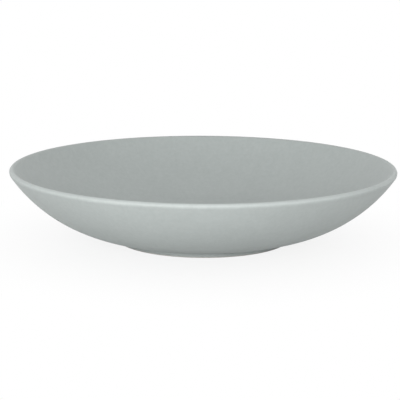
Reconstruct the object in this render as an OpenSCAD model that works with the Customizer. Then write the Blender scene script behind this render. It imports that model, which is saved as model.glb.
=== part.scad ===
// Deep coupe plate of glazed stoneware, in millimetres.
// The fired clay body is one turned piece with a foot ring. The glaze is a skin of glass fused
// onto it in two coats, because the bare ring that the plate stands on parts them.
// Origin: on the table, under the middle of the plate. +Z is up.

/* [Plate] */
// Diameter across the rim
rim_d = 260; // [230:1:300]
// Height from the table to the top of the rim
plate_h = 50; // [44:0.5:60]
// Thickness of the glazed wall at the rim, which ends in a full round
rim_t = 4; // [3:0.1:5.5]
// How far the outside of the wall bows out from a straight line between the foot and the rim
wall_bow = 8.8; // [7:0.1:11]

/* [Well] */
// Diameter of the flat middle of the well
well_flat_d = 88; // [60:1:96]
// Thickness of the glazed floor over the recess in the base
floor_t = 4.8; // [3.6:0.1:6.5]

/* [Foot ring] */
// Outside diameter of the foot ring at the table, between the sharp corners of its section
foot_d = 117; // [106:0.5:130]
// Width of the foot ring at the table, between the same corners
foot_w = 4.2; // [3.4:0.1:6]
// Height at which the side of the foot ring meets the wall
foot_h = 3.7; // [3.2:0.1:5]
// Lean of the foot ring's two sides from upright, in degrees
foot_draft = 8; // [2:1:14]
// Radius in the corner between the foot ring and the wall
foot_fillet_r = 2; // [1:0.1:2.2]
// Radius on both edges of the face that rests on the table
foot_edge_r = 0.6; // [0.3:0.1:0.9]
// Depth of the glazed recess inside the foot ring
recess_h = 3; // [2.8:0.1:3.6]
// Radius in the corner of the recess
recess_fillet_r = 1.2; // [0.8:0.1:1.4]

/* [Glaze] */
// Thickness of the glaze
glaze_t = 0.4; // [0.25:0.05:0.5]
// Height of the bare clay between the rounded edges of the foot ring and the glaze
bare_band = 0.2; // [0.1:0.05:0.5]

/* [Hidden] */
$fn = 180;

// Steps in each long curve of the wall, round the rim, in each fillet and round each small edge
wall_steps = 36;
rim_steps = 20;
fillet_steps = 6;
edge_steps = 4;

// Points nearer to each other than this are one point of an outline
same_point = 0.001;

// Middle of the full round at the rim
rim_round_r = rim_t / 2;
rim_at = [rim_d / 2 - rim_round_r, plate_h - rim_round_r];

// Foot ring at the table: its outside and its bore, and how its sides spread as they rise
foot_r = foot_d / 2;
foot_bore_r = foot_r - foot_w;
draft_rise = tan(foot_draft);

// Outside of the wall: an arc from the foot's side to the rim's round, tangent to the round.
// The parallel arc that lies deeper by the round's radius ends in the middle of the round, and
// wall_bow is how far that one rises over its chord.
chord_from = [foot_r + foot_h * draft_rise, foot_h + rim_round_r];
chord = rim_at - chord_from;
chord_l = norm(chord);
bow_r = chord_l * chord_l / (8 * wall_bow) + wall_bow / 2;
outer_r = bow_r + rim_round_r;
outer_at = (rim_at + chord_from) / 2 + [-chord[1], chord[0]] / chord_l * (bow_r - wall_bow);

// Inside of the well: an arc that leaves the flat middle level and is tangent to the rim's round
well_z = recess_h + floor_t;
well_flat_r = well_flat_d / 2;
well_run = rim_at[0] - well_flat_r;
well_rise = rim_at[1] - well_z;
inner_r = (well_run * well_run + well_rise * well_rise - rim_round_r * rim_round_r)
    / (2 * (well_rise + rim_round_r));
inner_at = [well_flat_r, well_z + inner_r];

// Fillet between the foot ring and the wall: it touches the ring's side and the outside arc
fillet_reach = outer_r + foot_fillet_r;
fillet_run = foot_r + (glaze_t + foot_fillet_r) / cos(foot_draft) - outer_at[0];
fillet_slant = 1 + draft_rise * draft_rise;
fillet_mid = outer_at[1] - fillet_run * draft_rise;
fillet_span = fillet_run * fillet_run + outer_at[1] * outer_at[1] - fillet_reach * fillet_reach;
fillet_z = (fillet_mid - sqrt(fillet_mid * fillet_mid - fillet_slant * fillet_span)) / fillet_slant;
fillet_at = [outer_at[0] + fillet_run + fillet_z * draft_rise, fillet_z];

// Middle of the round in the corner of the recess
recess_at_z = recess_h - recess_fillet_r;
recess_at = [
    foot_bore_r - recess_at_z * draft_rise - (recess_fillet_r + glaze_t) / cos(foot_draft),
    recess_at_z
];

// Rounded edges of the face that rests on the table: where they end on the ring's sides, and how
// far they reach in from its sharp corners
edge_top = foot_edge_r * (1 - sin(foot_draft));
edge_inset = edge_top / cos(foot_draft);

// Height at which both coats of glaze end on the foot ring
glaze_end_z = edge_top + bare_band;

// Angle from one point to another
function heading(from, to) = atan2(to[1] - from[1], to[0] - from[0]);

// Points along an arc, from one angle to another
function arc(centre, radius, from, to, steps) = [
    for (i = [0 : steps])
        let (a = from + (to - from) * i / steps)
        centre + radius * [cos(a), sin(a)]
];

// A list back to front
function reversed(list) = [for (i = [len(list) - 1 : -1 : 0]) list[i]];

// An outline without its repeated points, where one arc ends and the next one starts
function tidied(points) = [
    for (i = [0 : len(points) - 1])
        let (next = points[(i + 1) % len(points)])
        if (norm(next - points[i]) > same_point) points[i]
];

// Surface from the middle of the well over the rim and down to the fillet at the foot,
// sunk by depth: 0 is the face of the glaze, and glaze_t the clay under it
function upper_skin(depth) =
    let (
        inner_end = heading(inner_at, rim_at),
        outer_start = heading(outer_at, rim_at),
        outer_end = heading(outer_at, fillet_at)
    )
    concat(
        [[0, well_z - depth]],
        arc(inner_at, inner_r + depth, -90, inner_end, wall_steps),
        arc(rim_at, rim_round_r - depth, inner_end + 180, outer_start, rim_steps),
        arc(outer_at, outer_r - depth, outer_start, outer_end, wall_steps),
        arc(fillet_at, foot_fillet_r + depth, outer_end + 180, 180 - foot_draft, fillet_steps)
    );

// Surface of the recess under the plate, from its middle to the foot ring's bore, sunk by depth
function recess_skin(depth) = concat(
    [[0, recess_h + depth]],
    arc(recess_at, recess_fillet_r + depth, 90, foot_draft, fillet_steps)
);

// Point at a height on the foot ring's outside, where side is 1, or in its bore, where it is -1
function on_foot(side, z) = [(side > 0 ? foot_r : foot_bore_r) + side * z * draft_rise, z];

// The glaze ends on the foot ring in a quarter round
function glaze_end(side) =
    let (out = side > 0 ? -foot_draft : 180 + foot_draft)
    arc(on_foot(side, glaze_end_z + glaze_t * cos(foot_draft)), glaze_t, out, out - side * 90, edge_steps);

// Outline of the bare foot ring, from the glaze on its outside to the glaze in its bore
function bare_foot() = concat(
    [on_foot(1, glaze_end_z)],
    arc([foot_r - edge_inset, foot_edge_r], foot_edge_r, -foot_draft, -90, edge_steps),
    arc([foot_bore_r + edge_inset, foot_edge_r], foot_edge_r, -90, foot_draft - 180, edge_steps),
    [on_foot(-1, glaze_end_z)]
);

module turned(points) {
    rotate_extrude() polygon(tidied(points));
}

module stoneware_body() {
    color("#b5b4af")
        turned(concat(upper_skin(glaze_t), bare_foot(), reversed(recess_skin(glaze_t))));
}

module glaze_coat() {
    color("#adb3b1")
        turned(concat(upper_skin(0), glaze_end(1), reversed(upper_skin(glaze_t))));
}

module base_glaze() {
    color("#aab0ae")
        turned(concat(recess_skin(0), glaze_end(-1), reversed(recess_skin(glaze_t))));
}

stoneware_body();
glaze_coat();
base_glaze();
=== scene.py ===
# %% [markdown]
# # A deep coupe plate in grey-green stoneware
#
# The plate is three things that never come apart: a body of fired clay, a coat of glaze that runs from
# the middle of the well over the lip and down to the foot, and a patch of the same glaze under the
# base. The measured plate comes from the frame, and this lesson gives it the surfaces that a potter
# would leave on it. All lengths are in metres, and the plate stands on z = 0 with its axis on z.

# %% Load the measured plate
import math
from collections import namedtuple

import bpy
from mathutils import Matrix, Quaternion, Vector


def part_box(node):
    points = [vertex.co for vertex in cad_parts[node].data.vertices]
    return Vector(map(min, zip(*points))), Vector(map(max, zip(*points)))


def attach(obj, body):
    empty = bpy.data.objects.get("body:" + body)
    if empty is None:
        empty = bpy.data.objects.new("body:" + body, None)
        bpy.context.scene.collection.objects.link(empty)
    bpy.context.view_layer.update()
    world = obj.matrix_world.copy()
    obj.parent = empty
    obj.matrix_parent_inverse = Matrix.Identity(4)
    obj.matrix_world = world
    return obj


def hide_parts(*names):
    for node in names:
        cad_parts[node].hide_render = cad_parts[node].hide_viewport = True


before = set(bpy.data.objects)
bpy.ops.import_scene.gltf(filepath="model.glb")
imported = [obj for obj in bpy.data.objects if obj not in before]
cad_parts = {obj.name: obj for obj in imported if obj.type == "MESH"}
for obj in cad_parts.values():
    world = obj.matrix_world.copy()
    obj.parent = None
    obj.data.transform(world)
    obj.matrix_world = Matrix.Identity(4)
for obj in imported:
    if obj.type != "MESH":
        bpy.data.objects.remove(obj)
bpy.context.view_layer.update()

# %% [markdown]
# ## The sizes that make the section
#
# A plate that is thrown or jiggered has one section all round, so a handful of sizes describe it. Those
# that can be read off the measured plate are read off it. The others are the maker's own: how far the
# wall bows, how wide the well's flat middle is, and what the foot ring looks like. If the frame's plate
# were a little larger, the drawing would follow it.

# %% Sizes of the plate
MM = 0.001
coat_low, coat_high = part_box("glaze_coat")
clay_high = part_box("stoneware_body")[1]
base_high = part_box("base_glaze")[1]

RIM_RADIUS = (coat_high.x - coat_low.x) / 2
HEIGHT = coat_high.z
GLAZE = coat_high.z - clay_high.z
GLAZE_END_Z = coat_low.z
RECESS_Z = base_high.z - GLAZE
LIP_RADIUS = 2 * MM
WALL_BOW = 8.8 * MM
FLOOR = 4.8 * MM
WELL_FLAT_RADIUS = 44 * MM
FOOT_RADIUS = 58.5 * MM
FOOT_WIDTH = 4.2 * MM
FOOT_HEIGHT = 3.7 * MM
FOOT_DRAFT = math.radians(8)
FOOT_FILLET = 2 * MM
FOOT_EDGE = 0.6 * MM
RECESS_FILLET = 1.2 * MM
WELL_Z = RECESS_Z + FLOOR
print(f"rim {2 * RIM_RADIUS / MM:.1f} mm across, {HEIGHT / MM:.1f} mm high, glaze {GLAZE / MM:.2f} mm thick")

# %% [markdown]
# ## The circles behind the wall
#
# The section is drawn in the upright plane through the axis, so a place in it is a distance from the
# axis and a height. Two circles meet without a corner when their middles and the place where they meet
# lie on one line. The lip is a full round. The outside of the wall is one arc that leaves the lip in
# that way and bows out by a known amount on its way to the foot. The inside is a second arc, level
# where it leaves the flat middle of the well. Both could be drawn by eye as curves with handles, but
# then the lip would show a faint corner in raking light.

# %% Circles of the lip, the outside and the well
LEAN = math.tan(FOOT_DRAFT)
LIP_AT = Vector((RIM_RADIUS - LIP_RADIUS, HEIGHT - LIP_RADIUS))

chord_start = Vector((FOOT_RADIUS + FOOT_HEIGHT * LEAN, FOOT_HEIGHT + LIP_RADIUS))
chord = LIP_AT - chord_start
bow_radius = chord.length ** 2 / (8 * WALL_BOW) + WALL_BOW / 2
OUTER_RADIUS = bow_radius + LIP_RADIUS
OUTER_AT = (LIP_AT + chord_start) / 2 + Vector((-chord.y, chord.x)).normalized() * (bow_radius - WALL_BOW)

well_run = LIP_AT.x - WELL_FLAT_RADIUS
well_rise = LIP_AT.y - WELL_Z
INNER_RADIUS = (well_run ** 2 + well_rise ** 2 - LIP_RADIUS ** 2) / (2 * (well_rise + LIP_RADIUS))
INNER_AT = Vector((WELL_FLAT_RADIUS, WELL_Z + INNER_RADIUS))
print(f"outside arc {OUTER_RADIUS / MM:.1f} mm, well arc {INNER_RADIUS / MM:.1f} mm")

# %% [markdown]
# ## The circles at the foot
#
# A foot ring leans a little, because a mould has to let go of it. A fillet joins it to the wall, and
# its middle is as far from the ring's side as it is from the wall, which makes a quadratic in its
# height. A smaller round sits in the corner of the recess, and the two edges of the face that rests on
# the table are eased, so that they neither chip nor scratch.

# %% Circles of the foot
fillet_reach = OUTER_RADIUS + FOOT_FILLET
fillet_run = FOOT_RADIUS + (GLAZE + FOOT_FILLET) / math.cos(FOOT_DRAFT) - OUTER_AT.x
fillet_slant = 1 + LEAN ** 2
fillet_middle = OUTER_AT.y - fillet_run * LEAN
fillet_span = fillet_run ** 2 + OUTER_AT.y ** 2 - fillet_reach ** 2
fillet_z = (fillet_middle - math.sqrt(fillet_middle ** 2 - fillet_slant * fillet_span)) / fillet_slant
FILLET_AT = Vector((OUTER_AT.x + fillet_run + fillet_z * LEAN, fillet_z))

BORE_RADIUS = FOOT_RADIUS - FOOT_WIDTH
corner_z = RECESS_Z - RECESS_FILLET
corner_reach = (RECESS_FILLET + GLAZE) / math.cos(FOOT_DRAFT)
RECESS_AT = Vector((BORE_RADIUS - corner_z * LEAN - corner_reach, corner_z))

EDGE_INSET = FOOT_EDGE * (1 - math.sin(FOOT_DRAFT)) / math.cos(FOOT_DRAFT)
print(f"fillet's middle {FILLET_AT.x / MM:.2f} mm out and {FILLET_AT.y / MM:.2f} mm up")

# %% [markdown]
# ## Strokes of the section
#
# An outline is a list of strokes, each a straight line or an arc. An arc keeps its middle, its radius
# and the two angles between which it runs, so the drawing can be read and changed. The glaze follows
# the clay at a constant depth, so one function gives both faces: at depth 0 it is the face of the
# glaze, and at the glaze's thickness it is the clay beneath.

# %% Lines and arcs
Line = namedtuple("Line", "start end steps")
Arc = namedtuple("Arc", "middle radius start end steps")

FLAT_STEPS = 11
WALL_STEPS = 40
LIP_STEPS = 24
FILLET_STEPS = 10
EDGE_STEPS = 6
SIDE_STEPS = 2


def heading(start, end):
    """Angle of the way from one place to another."""
    return math.atan2(end.y - start.y, end.x - start.x)


def backwards(strokes):
    """The same strokes, drawn from the last one's end to the first one's start."""
    return [stroke._replace(start=stroke.end, end=stroke.start) for stroke in reversed(strokes)]


# %% Skins of the well, the wall and the recess
def upper_skin(depth):
    """Strokes from the middle of the well over the lip and down to the fillet, sunk by depth."""
    well_end = heading(INNER_AT, LIP_AT)
    outer_start = heading(OUTER_AT, LIP_AT)
    outer_end = heading(OUTER_AT, FILLET_AT)
    level = WELL_Z - depth
    return [
        Line(Vector((0, level)), Vector((WELL_FLAT_RADIUS, level)), FLAT_STEPS),
        Arc(INNER_AT, INNER_RADIUS + depth, -math.pi / 2, well_end, WALL_STEPS),
        Arc(LIP_AT, LIP_RADIUS - depth, well_end + math.pi, outer_start, LIP_STEPS),
        Arc(OUTER_AT, OUTER_RADIUS - depth, outer_start, outer_end, WALL_STEPS),
        Arc(FILLET_AT, FOOT_FILLET + depth, outer_end + math.pi, math.pi - FOOT_DRAFT, FILLET_STEPS),
    ]


def recess_skin(depth):
    """Strokes of the recess under the plate, from its middle to the foot ring's bore, sunk by depth."""
    level = RECESS_Z + depth
    return [
        Line(Vector((0, level)), Vector((RECESS_AT.x, level)), FLAT_STEPS),
        Arc(RECESS_AT, RECESS_FILLET + depth, math.pi / 2, FOOT_DRAFT, FILLET_STEPS),
    ]


print("strokes of a skin:", len(upper_skin(0)), "above and", len(recess_skin(0)), "below")

# %% [markdown]
# ## The foot ring and where the glaze stops
#
# A plate is fired standing on its foot, and glaze would weld it to the kiln shelf, so the potter wipes
# the foot bare. The wiped edge of the glaze draws itself into a quarter round as it melts. That is the
# one place where clay shows.

# %% Foot ring and glaze ends
OUTSIDE = 1
BORE = -1


def on_foot(side, z):
    """Place on the clay of the foot ring's outside or bore, at a height."""
    radius = FOOT_RADIUS if side == OUTSIDE else BORE_RADIUS
    return Vector((radius + side * z * LEAN, z))


def glaze_end(side):
    """Quarter round in which the glaze ends on the foot ring."""
    middle = on_foot(side, GLAZE_END_Z + GLAZE * math.cos(FOOT_DRAFT))
    outwards = -FOOT_DRAFT if side == OUTSIDE else math.pi + FOOT_DRAFT
    return Arc(middle, GLAZE, outwards, outwards - side * math.pi / 2, EDGE_STEPS)


def bare_foot():
    """Strokes of the foot ring's bare clay, from the outside under the table's face to the bore."""
    outer_edge = Vector((FOOT_RADIUS - EDGE_INSET, FOOT_EDGE))
    bore_edge = Vector((BORE_RADIUS + EDGE_INSET, FOOT_EDGE))
    return [
        Line(on_foot(OUTSIDE, GLAZE_END_Z + GLAZE), on_foot(OUTSIDE, GLAZE_END_Z), SIDE_STEPS),
        Arc(outer_edge, FOOT_EDGE, -FOOT_DRAFT, -math.pi / 2, EDGE_STEPS),
        Arc(bore_edge, FOOT_EDGE, -math.pi / 2, FOOT_DRAFT - math.pi, EDGE_STEPS),
        Line(on_foot(BORE, GLAZE_END_Z), on_foot(BORE, GLAZE_END_Z + GLAZE), SIDE_STEPS),
    ]


print(f"glaze ends {GLAZE_END_Z / MM:.2f} mm above the table")

# %% [markdown]
# ## A pen that draws with Blender's own tools
#
# A plane is merged to a single point, and that point is the pen. Extruding it draws a straight line,
# and spinning it about an axis square to the drawing draws an arc. Either way the last point stays
# selected, so the next stroke goes on from it. Where a stroke starts away from the pen, a line is drawn
# to it first.

# %% Pen
SAME_PLACE = 0.001 * MM
print(f"points nearer than {SAME_PLACE / MM} mm are one point")


def upright(place):
    """A place of the section as a point in space, in the plane that the section is drawn in."""
    return place.x, 0, place.y


def place_on(arc, angle):
    """Place on the circle of an arc."""
    return arc.middle + arc.radius * Vector((math.cos(angle), math.sin(angle)))


def put_pen_down(name, place):
    """Starts a piece as one selected point."""
    bpy.ops.object.select_all(action="DESELECT")
    bpy.ops.mesh.primitive_plane_add(size=MM)
    piece = bpy.context.object
    piece.name = name
    piece.data.name = name
    bpy.ops.object.mode_set(mode="EDIT")
    bpy.ops.mesh.select_all(action="SELECT")
    bpy.ops.mesh.merge(type="CENTER")
    bpy.ops.transform.translate(value=upright(place))
    return piece


def rule_line(way, steps):
    """Draws a straight line from the pen, in equal steps."""
    for _ in range(steps):
        bpy.ops.mesh.extrude_region_move(TRANSFORM_OT_translate={"value": upright(way / steps)})


def draw_section(name, strokes):
    """Draws an outline stroke by stroke and leaves it open in edit mode."""
    pen = strokes[0].start
    piece = put_pen_down(name, pen)
    for stroke in strokes:
        is_arc = isinstance(stroke, Arc)
        start = place_on(stroke, stroke.start) if is_arc else stroke.start
        if (start - pen).length > SAME_PLACE:
            rule_line(start - pen, 1)
        if is_arc:
            sweep = stroke.end - stroke.start
            bpy.ops.mesh.spin(
                steps=stroke.steps, angle=sweep, center=upright(stroke.middle), axis=(0, 1, 0)
            )
            pen = place_on(stroke, stroke.end)
        else:
            rule_line(stroke.end - stroke.start, stroke.steps)
            pen = stroke.end
    return piece


# %% [markdown]
# ## Turning the section
#
# Spinning the section once round the axis makes the body, as the wheel does. The last copy lands on the
# first, and every ring on the axis is a single point, so doubles are merged. Only then are the normals
# worked out, because they depend on the shell being closed. A Screw modifier would give the same body,
# but it needs the same merging and leaves less to see.

# %% Wheel
TURN_STEPS = 240
SMOOTH_UP_TO = math.radians(35)


def turn_on_wheel(piece):
    """Spins the open section round the axis and closes the shell."""
    bpy.ops.mesh.select_all(action="SELECT")
    bpy.ops.mesh.spin(
        steps=TURN_STEPS, angle=2 * math.pi, center=(0, 0, 0), axis=(0, 0, 1), use_auto_merge=True
    )
    bpy.ops.mesh.select_all(action="SELECT")
    bpy.ops.mesh.remove_doubles(threshold=SAME_PLACE)
    bpy.ops.mesh.normals_make_consistent(inside=False)
    bpy.ops.object.mode_set(mode="OBJECT")
    bpy.ops.object.shade_smooth_by_angle(angle=SMOOTH_UP_TO)
    mesh = piece.data
    closed = len(mesh.vertices) - len(mesh.edges) + len(mesh.polygons) == 2
    print(f"{piece.name}: {len(mesh.polygons)} faces, closed: {closed}")
    return piece


# %% [markdown]
# ## The clay body
#
# The body is one turned piece: the wall, the floor and the foot ring. Almost all of it lies under
# glaze, so a ring under the plate would be enough for the eye. It is drawn whole all the same, because
# its bare foot has to carry the plate, the back of the glaze needs something to lie on, and a broken
# plate would show the rest.

# %% Stoneware body
stoneware_body = turn_on_wheel(draw_section(
    "stoneware_body_turned",
    [*upper_skin(GLAZE), *bare_foot(), *backwards(recess_skin(GLAZE))],
))

# %% [markdown]
# ## The glaze
#
# The glaze is a skin of glass fused to the clay. It has a face, a rounded end on the foot ring, and a
# back that lies on the clay, so it is a closed shell of its own and not a coloured patch on the body.
# The ring that the plate stands on parts it in two: the coat above and the patch in the recess.

# %% Glaze coat and base glaze
glaze_coat = turn_on_wheel(draw_section(
    "glaze_coat_turned",
    [*upper_skin(0), glaze_end(OUTSIDE), *backwards(upper_skin(GLAZE))],
))
base_glaze = turn_on_wheel(draw_section(
    "base_glaze_turned",
    [*recess_skin(0), glaze_end(BORE), *backwards(recess_skin(GLAZE))],
))

# %% [markdown]
# ## Building a finish from nodes
#
# A finish is a small network. Two helpers keep it short: one adds a node with its settings, and the
# other joins two sockets. Three more do sums with outputs: a weighted sum, the larger of two, and the
# product of two. Every pattern reads Object coordinates, which are metres on the plate, so a scale of
# 100 makes marks about 10 mm across.

# %% Helpers for finishes
def new_finish(name):
    """A material with a network of its own, which starts as one shader."""
    finish = bpy.data.materials.new(name)
    finish.use_nodes = True
    return finish


def add_node(finish, kind, inputs=None, **settings):
    """Adds a node, sets its properties, and sets its input sockets by name."""
    node = finish.node_tree.nodes.new(kind)
    for setting, value in settings.items():
        setattr(node, setting, value)
    for socket, value in (inputs or {}).items():
        node.inputs[socket].default_value = value
    return node


def join(finish, output, socket):
    """Joins an output socket to an input socket."""
    finish.node_tree.links.new(output, socket)


def weigh(finish, output, weight, rest):
    """Output times weight, plus rest, which is a number or another output."""
    node = add_node(finish, "ShaderNodeMath", operation="MULTIPLY_ADD")
    join(finish, output, node.inputs[0])
    node.inputs[1].default_value = weight
    if isinstance(rest, (int, float)):
        node.inputs[2].default_value = rest
    else:
        join(finish, rest, node.inputs[2])
    return node.outputs[0]


def either(finish, first, second):
    """The larger of two outputs."""
    node = add_node(finish, "ShaderNodeMath", operation="MAXIMUM")
    join(finish, first, node.inputs[0])
    join(finish, second, node.inputs[1])
    return node.outputs[0]


def both(finish, first, second):
    """The product of two outputs."""
    node = add_node(finish, "ShaderNodeMath", operation="MULTIPLY")
    join(finish, first, node.inputs[0])
    join(finish, second, node.inputs[1])
    return node.outputs[0]


# %% [markdown]
# ## The satin glaze
#
# A glaze changes tone with its thickness, and here the same number carries painted light too. The outer half
# of the lip turns paler, partly because the glaze thins there as it runs off down the wall and partly as a
# painted highlight along the lip. Low down by the foot ring it is a shade deeper, partly because the glaze
# pools there and partly as painted shade in the crease and the recess. So one number stands for thickness
# and painted light all over the plate, and one colour ramp turns it into a tone. Marks of three sizes are
# added to the same number: clouds about 30 mm wide from the spraying, a drift of about 5 mm from the way the
# glaze runs, and a mottle of about 2 mm from the melt. All stay faint, because this glaze is laid on evenly.
# The gloss is satin, a little uneven, and a slight orange peel lies over it.

# %% Tones and marks of the glaze
Mark = namedtuple("Mark", "per_metre detail weight")

# The pale end of this ramp is reached mostly on the lip, where its paleness is partly a painted highlight.
THIN_GLAZE_AND_HIGHLIGHT_TONE = (0.483, 0.522, 0.510, 1)
USUAL_TONE = (0.4155, 0.450, 0.440, 1)
# The deep end of this ramp is reached mostly by the foot ring, where its depth is partly painted shade.
THICK_GLAZE_AND_SHADE_TONE = (0.353, 0.385, 0.376, 1)
LEAST_THICKNESS = 0.03
CLOUDS = Mark(34, 3, 0.20)
DRIFT = Mark(190, 2, 0.28)
MOTTLE = Mark(430, 3, 0.55)

# On the outer half of the lip the glaze is paled as a painted highlight as well as for thinner glaze.
LIP_UPPER_PART = (HEIGHT - 2.3 * MM, HEIGHT - 1.2 * MM)
LIP_OUTER_HALF = (LIP_AT.x - 0.6 * MM, LIP_AT.x + 0.2 * MM)
LIP_THINNING_AND_HIGHLIGHT = -0.50
# Low down by the foot ring, in the crease and the recess, the glaze is deepened as painted shade as well as
# for pooled glaze.
POOL_AND_SHADE_TOP = (6.5 * MM, 4.5 * MM)
POOL_AND_SHADE_BOTTOM = (1.8 * MM, 3.8 * MM)
POOL_THICKENING_AND_SHADE = 0.35

GLAZE_ROUGHNESS = 0.47
UNEVEN_GLOSS = Mark(210, 3, 0.10)
COARSE_PEEL = Mark(330, 2, 1.0)
FINE_PEEL = Mark(1900, 2, 0.15)
PEEL_DEPTH = 0.025 * MM
print(f"clouds {1 / (CLOUDS.per_metre * MM):.0f} mm wide, mottle {1 / (MOTTLE.per_metre * MM):.1f} mm wide")


# %% Noise, fades and the distance from the axis
NOISE_ROUGHNESS = 0.55


def noise(finish, coordinates, mark):
    """Noise over the piece with the size and detail of a mark, about 0.5 on average."""
    inputs = {"Scale": mark.per_metre, "Detail": mark.detail, "Roughness": NOISE_ROUGHNESS}
    node = add_node(finish, "ShaderNodeTexNoise", inputs)
    join(finish, coordinates, node.inputs["Vector"])
    return node.outputs["Fac"]


def add_marks(finish, coordinates, marks, rest):
    """Rest plus the noise of each mark times its weight."""
    total = rest
    for mark in marks:
        total = weigh(finish, noise(finish, coordinates, mark), mark.weight, total)
    return total


def fade(finish, measure, band):
    """0 where a measure is the band's first value, 1 where it is the second, and soft between."""
    inputs = {"From Min": band[0], "From Max": band[1]}
    node = add_node(finish, "ShaderNodeMapRange", inputs, interpolation_type="SMOOTHSTEP")
    join(finish, measure, node.inputs["Value"])
    return node.outputs["Result"]


def distance_from_axis(finish, axes):
    """Distance from the plate's axis, out of coordinates that were parted into their axes."""
    level = add_node(finish, "ShaderNodeCombineXYZ")
    join(finish, axes.outputs["X"], level.inputs["X"])
    join(finish, axes.outputs["Y"], level.inputs["Y"])
    length = add_node(finish, "ShaderNodeVectorMath", operation="LENGTH")
    join(finish, level.outputs["Vector"], length.inputs[0])
    return length.outputs["Value"]


# %% Satin glaze
def satin_glaze(name):
    """Satin matt grey-green glaze."""
    finish = new_finish(name)
    shader = finish.node_tree.nodes["Principled BSDF"]
    coordinates = add_node(finish, "ShaderNodeTexCoord").outputs["Object"]
    axes = add_node(finish, "ShaderNodeSeparateXYZ")
    join(finish, coordinates, axes.inputs[0])
    height = axes.outputs["Z"]
    distance = distance_from_axis(finish, axes)

    # The lip's painted highlight goes into the thickness here, together with the real marks.
    lip = both(finish, fade(finish, height, LIP_UPPER_PART), fade(finish, distance, LIP_OUTER_HALF))
    # The painted shade by the foot ring goes into the thickness here, together with pooled glaze.
    pool_and_shade = both(finish, fade(finish, height, POOL_AND_SHADE_TOP), fade(finish, height, POOL_AND_SHADE_BOTTOM))
    thickness_and_painted_light = add_marks(finish, coordinates, (CLOUDS, DRIFT, MOTTLE), LEAST_THICKNESS)
    thickness_and_painted_light = weigh(finish, lip, LIP_THINNING_AND_HIGHLIGHT, thickness_and_painted_light)
    thickness_and_painted_light = weigh(finish, pool_and_shade, POOL_THICKENING_AND_SHADE, thickness_and_painted_light)

    tones = add_node(finish, "ShaderNodeValToRGB")
    tones.color_ramp.elements[0].color = THIN_GLAZE_AND_HIGHLIGHT_TONE
    tones.color_ramp.elements[1].color = THICK_GLAZE_AND_SHADE_TONE
    tones.color_ramp.elements.new(0.5).color = USUAL_TONE
    join(finish, thickness_and_painted_light, tones.inputs["Fac"])
    join(finish, tones.outputs["Color"], shader.inputs["Base Color"])

    roughness = add_marks(finish, coordinates, (UNEVEN_GLOSS,), GLAZE_ROUGHNESS)
    join(finish, roughness, shader.inputs["Roughness"])

    peel = add_marks(finish, coordinates, (COARSE_PEEL, FINE_PEEL), 0.0)
    bump = add_node(finish, "ShaderNodeBump", {"Strength": 1.0, "Distance": PEEL_DEPTH})
    join(finish, peel, bump.inputs["Height"])
    join(finish, bump.outputs["Normal"], shader.inputs["Normal"])
    return finish


coat_finish = satin_glaze("satin_glaze_coat")
base_finish = satin_glaze("satin_glaze_base")
glaze_coat.data.materials.append(coat_finish)
base_glaze.data.materials.append(base_finish)
print("nodes in the glaze:", len(coat_finish.node_tree.nodes))

# %% [markdown]
# ## The bare clay
#
# Fired stoneware is dense and matt, a greyish buff with a fine grain and a few darker specks of iron.
# The foot was wiped with a sponge while the plate turned, which leaves faint rings about the axis. A
# wave in rings about z draws those, a fine noise is the grain, and the specks are the hearts of Voronoi
# cells, which lie as loosely as iron does.

# %% Tones and marks of the clay
CLAY_PALE = (0.50, 0.50, 0.475, 1)
CLAY_DEEP = (0.42, 0.415, 0.385, 1)
IRON_SPECK = (0.20, 0.15, 0.11, 1)
GRAIN = Mark(2600, 4, 0.75)
SPONGE_RINGS = {"Scale": 700, "Distortion": 1.5, "Detail": 2}
RINGS_WEIGHT = 0.25
SPECKS = {"Scale": 520, "Randomness": 1.0}
SPECK_EDGE = {"From Min": 0.16, "From Max": 0.09}
CLAY_ROUGHNESS = 0.68
CLAY_UNEVENNESS = 0.2
GRAIN_DEPTH = 0.03 * MM
# A Mix node has a set of sockets for each kind of value, and these are the ones for colours.
MIX_SHARE = 0
MIX_FIRST = 6
MIX_SECOND = 7
MIX_RESULT = 2
print(f"grain {1 / (GRAIN.per_metre * MM):.2f} mm wide")


# %% Bare stoneware
def bare_stoneware():
    """Fired clay, wiped but not glazed."""
    finish = new_finish("bare_stoneware")
    shader = finish.node_tree.nodes["Principled BSDF"]
    coordinates = add_node(finish, "ShaderNodeTexCoord").outputs["Object"]

    rings = add_node(
        finish, "ShaderNodeTexWave", SPONGE_RINGS, wave_type="RINGS", rings_direction="Z"
    )
    join(finish, coordinates, rings.inputs["Vector"])
    grain = noise(finish, coordinates, GRAIN)
    shade = weigh(finish, rings.outputs["Fac"], RINGS_WEIGHT, weigh(finish, grain, GRAIN.weight, 0.0))
    tones = add_node(finish, "ShaderNodeValToRGB")
    tones.color_ramp.elements[0].color = CLAY_PALE
    tones.color_ramp.elements[1].color = CLAY_DEEP
    join(finish, shade, tones.inputs["Fac"])

    specks = add_node(finish, "ShaderNodeTexVoronoi", SPECKS)
    join(finish, coordinates, specks.inputs["Vector"])
    speck_edge = add_node(finish, "ShaderNodeMapRange", SPECK_EDGE)
    join(finish, specks.outputs["Distance"], speck_edge.inputs["Value"])
    speckled = add_node(finish, "ShaderNodeMix", data_type="RGBA")
    join(finish, speck_edge.outputs["Result"], speckled.inputs[MIX_SHARE])
    join(finish, tones.outputs["Color"], speckled.inputs[MIX_FIRST])
    speckled.inputs[MIX_SECOND].default_value = IRON_SPECK
    join(finish, speckled.outputs[MIX_RESULT], shader.inputs["Base Color"])

    join(finish, weigh(finish, grain, CLAY_UNEVENNESS, CLAY_ROUGHNESS), shader.inputs["Roughness"])
    bump = add_node(finish, "ShaderNodeBump", {"Strength": 1.0, "Distance": GRAIN_DEPTH})
    join(finish, shade, bump.inputs["Height"])
    join(finish, bump.outputs["Normal"], shader.inputs["Normal"])
    return finish


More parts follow.
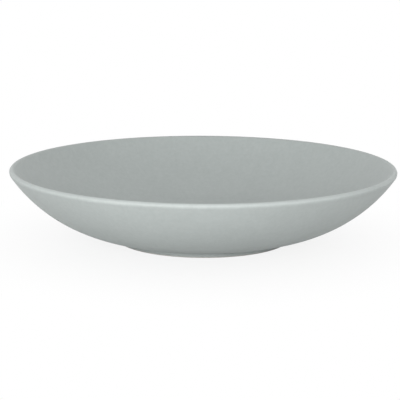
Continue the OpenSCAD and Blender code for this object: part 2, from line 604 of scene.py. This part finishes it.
clay_finish = bare_stoneware()
stoneware_body.data.materials.append(clay_finish)
print("nodes in the clay:", len(clay_finish.node_tree.nodes))

# %% [markdown]
# ## Seating the pieces on the frame
#
# The plate has no joint, so all three pieces ride on one body. Each stands for the measured solid of
# its own name, which is hidden, and keeps the finish it was given above.

# %% Ride and replace
for piece, node, slot in (
    (stoneware_body, "stoneware_body", "stoneware"),
    (glaze_coat, "glaze_coat", "glaze"),
    (base_glaze, "base_glaze", "base_glaze"),
):
    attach(piece, "root")
    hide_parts(node)
    print(piece.name, "stands for", node)

# %% [markdown]
# ## A white floor that keeps the shadow
#
# The floor is matt white. The camera and the gloss of the glaze see a plain white of strength 1 there,
# so the floor meets the white background with no edge. Near the plate a share of its own lit colour is
# left in, and that share carries the plate's soft shadow. It fades out with the distance from the axis.
# The gloss keeps more of it, because the low part of the wall mirrors the shaded floor right under it,
# which is what rounds that part off.

# %% What a ray sees
def seen_by_camera(finish):
    """1 for rays that come straight from the camera."""
    return add_node(finish, "ShaderNodeLightPath").outputs["Is Camera Ray"]


def seen_in_gloss(finish):
    """1 for rays that come from a gloss or through glass."""
    rays = add_node(finish, "ShaderNodeLightPath")
    return either(finish, rays.outputs["Is Glossy Ray"], rays.outputs["Is Transmission Ray"])


def white_away_from_plate(finish, distance, shadow, reach):
    """Share of plain white: all but the shadow's share near the plate, and all of it beyond the reach."""
    inputs = {"From Min": reach[0], "From Max": reach[1], "To Min": 1 - shadow, "To Max": 1}
    node = add_node(finish, "ShaderNodeMapRange", inputs, interpolation_type="SMOOTHSTEP")
    join(finish, distance, node.inputs["Value"])
    return node.outputs["Result"]


# %% Matt white with a share of plain white
FLOOR_TONE = (0.86, 0.86, 0.86, 1)
FLOOR_ROUGHNESS = 0.9
CAMERA_SHADOW = 0.14
CAMERA_SHADOW_REACH = (0.06, 0.19)
GLOSS_SHADOW = 0.6
GLOSS_SHADOW_REACH = (0.15, 1.0)


def white_floor():
    """Matt white that the camera and a gloss see as plain white, apart from the plate's shadow."""
    finish = new_finish("white_floor")
    nodes = finish.node_tree.nodes
    matt_white = nodes["Principled BSDF"]
    matt_white.inputs["Base Color"].default_value = FLOOR_TONE
    matt_white.inputs["Roughness"].default_value = FLOOR_ROUGHNESS
    matt_white.inputs["Specular IOR Level"].default_value = 0
    plain_white = add_node(finish, "ShaderNodeEmission", {"Strength": 1.0})

    from_axis = add_node(finish, "ShaderNodeVectorMath", operation="LENGTH")
    join(finish, add_node(finish, "ShaderNodeTexCoord").outputs["Object"], from_axis.inputs[0])
    distance = from_axis.outputs["Value"]
    camera_white = white_away_from_plate(finish, distance, CAMERA_SHADOW, CAMERA_SHADOW_REACH)
    gloss_white = white_away_from_plate(finish, distance, GLOSS_SHADOW, GLOSS_SHADOW_REACH)
    white_share = either(
        finish,
        both(finish, seen_by_camera(finish), camera_white),
        both(finish, seen_in_gloss(finish), gloss_white),
    )

    mix = add_node(finish, "ShaderNodeMixShader")
    join(finish, white_share, mix.inputs[0])
    join(finish, matt_white.outputs[0], mix.inputs[1])
    join(finish, plain_white.outputs[0], mix.inputs[2])
    join(finish, mix.outputs[0], nodes["Material Output"].inputs["Surface"])
    return finish


# %% Floor
FLOOR_SIZE = 9

bpy.ops.object.select_all(action="DESELECT")
bpy.ops.mesh.primitive_plane_add(size=FLOOR_SIZE)
floor = bpy.context.object
floor.name = "floor"
floor.data.materials.append(white_floor())
print("floor", FLOOR_SIZE, "m wide")

# %% [markdown]
# ## Soft light from all round
#
# A satin glaze asks for a light tent, and the world is that tent. It is brightest behind the plate,
# where a lit backdrop stands, softer overhead and on the right, and dim elsewhere. Each side is a lobe:
# the square of how far the ray's direction points to that side, times the side's strength. The camera,
# a gloss and clear glass see a plain white instead, which is what makes the background white without
# more light on the plate.

# %% Brightness of the tent
TENT_SIDES = (
    ("back", "Y", 1, 2.2),
    ("top", "Z", 1, 0.43),
    ("right", "X", 1, 0.54),
    ("left", "X", -1, 0.26),
)

world = bpy.data.worlds.new("light_tent")
bpy.context.scene.world = world
world.use_nodes = True
direction = add_node(world, "ShaderNodeSeparateXYZ")
join(world, add_node(world, "ShaderNodeTexCoord").outputs["Generated"], direction.inputs[0])
brightness = 0.0
for side, axis, sign, strength in TENT_SIDES:
    towards = weigh(world, direction.outputs[axis], sign, 0.0)
    facing = add_node(world, "ShaderNodeMath", operation="MAXIMUM")
    join(world, towards, facing.inputs[0])
    facing.inputs[1].default_value = 0
    lobe = add_node(world, "ShaderNodeMath", operation="MULTIPLY")
    join(world, facing.outputs[0], lobe.inputs[0])
    join(world, facing.outputs[0], lobe.inputs[1])
    brightness = weigh(world, lobe.outputs[0], strength, brightness)
    print(f"tent, {side}: {strength}")

# %% World
WHITE = (1, 1, 1, 1)

tent = world.node_tree.nodes["Background"]
tent.inputs["Color"].default_value = WHITE
join(world, brightness, tent.inputs["Strength"])
seen_white = add_node(world, "ShaderNodeBackground", {"Color": WHITE, "Strength": 1.0})
world_mix = add_node(world, "ShaderNodeMixShader")
join(world, either(world, seen_by_camera(world), seen_in_gloss(world)), world_mix.inputs[0])
join(world, tent.outputs[0], world_mix.inputs[1])
join(world, seen_white.outputs[0], world_mix.inputs[2])
join(world, world_mix.outputs[0], world.node_tree.nodes["World Output"].inputs["Surface"])
print("nodes in the world:", len(world.node_tree.nodes))

# %% [markdown]
# ## Softboxes in front
#
# Two wide softboxes stand in front, below the height of an eye, so they light the outside of the wall
# and draw a soft highlight along the lip. A low one on the left plays the part of a white card laid
# before the plate. Each is placed by its angle round the plate and its angle above the table.

# %% Softboxes
LAMP_DISTANCE = 1.5
LAMP_AIM = Vector((0, 0, 30 * MM))


def softbox(name, turn, rise, width, height, watts):
    """An area lamp that faces the plate. Its turn and rise, in degrees, say where it stands."""
    turned = math.radians(turn)
    risen = math.radians(rise)
    way = Vector((
        math.sin(turned) * math.cos(risen),
        -math.cos(turned) * math.cos(risen),
        math.sin(risen),
    ))
    bpy.ops.object.light_add(type="AREA", location=LAMP_AIM + LAMP_DISTANCE * way)
    lamp = bpy.context.object
    lamp.name = name
    lamp.rotation_euler = way.to_track_quat("Z", "Y").to_euler()
    lamp.visible_camera = False
    lamp.data.shape = "RECTANGLE"
    lamp.data.size = width
    lamp.data.size_y = height
    lamp.data.energy = watts
    print(f"{name}: {watts} W over {width} by {height} m")


softbox("front_softbox", turn=5, rise=15, width=1.2, height=0.3, watts=10.6)
softbox("left_softbox", turn=-20, rise=20, width=1.2, height=0.4, watts=6.3)
softbox("card_softbox", turn=-40, rise=6, width=1.2, height=0.25, watts=4.5)

# %% [markdown]
# ## The camera
#
# The plate is seen from just above its rim, 10 degrees up and a metre away, through a long lens that
# keeps its ellipse calm. The camera is rolled by a quarter of a degree, as one set by hand often is.

# %% Camera
CAMERA_TARGET = Vector((0, 0, 0.05))
CAMERA_DISTANCE = 1.0
CAMERA_ELEVATION = math.radians(10.16)
CAMERA_AIM = Vector((-0.0021, 0, 0.0262))
CAMERA_ROLL = math.radians(0.239)
LENS = 133.3
SENSOR = 36

camera_data = bpy.data.cameras.new("camera")
camera_data.lens = LENS
camera_data.sensor_width = SENSOR
camera = bpy.data.objects.new("camera", camera_data)
bpy.context.scene.collection.objects.link(camera)
camera.location = CAMERA_TARGET + CAMERA_DISTANCE * Vector(
    (0, -math.cos(CAMERA_ELEVATION), math.sin(CAMERA_ELEVATION))
)
aim = (CAMERA_AIM - camera.location).to_track_quat("-Z", "Y")
camera.rotation_mode = "QUATERNION"
camera.rotation_quaternion = aim @ Quaternion((0, 0, 1), CAMERA_ROLL)
bpy.context.scene.camera = camera
bpy.context.scene.view_settings.view_transform = "Standard"
print("camera at", [round(number, 4) for number in camera.location])
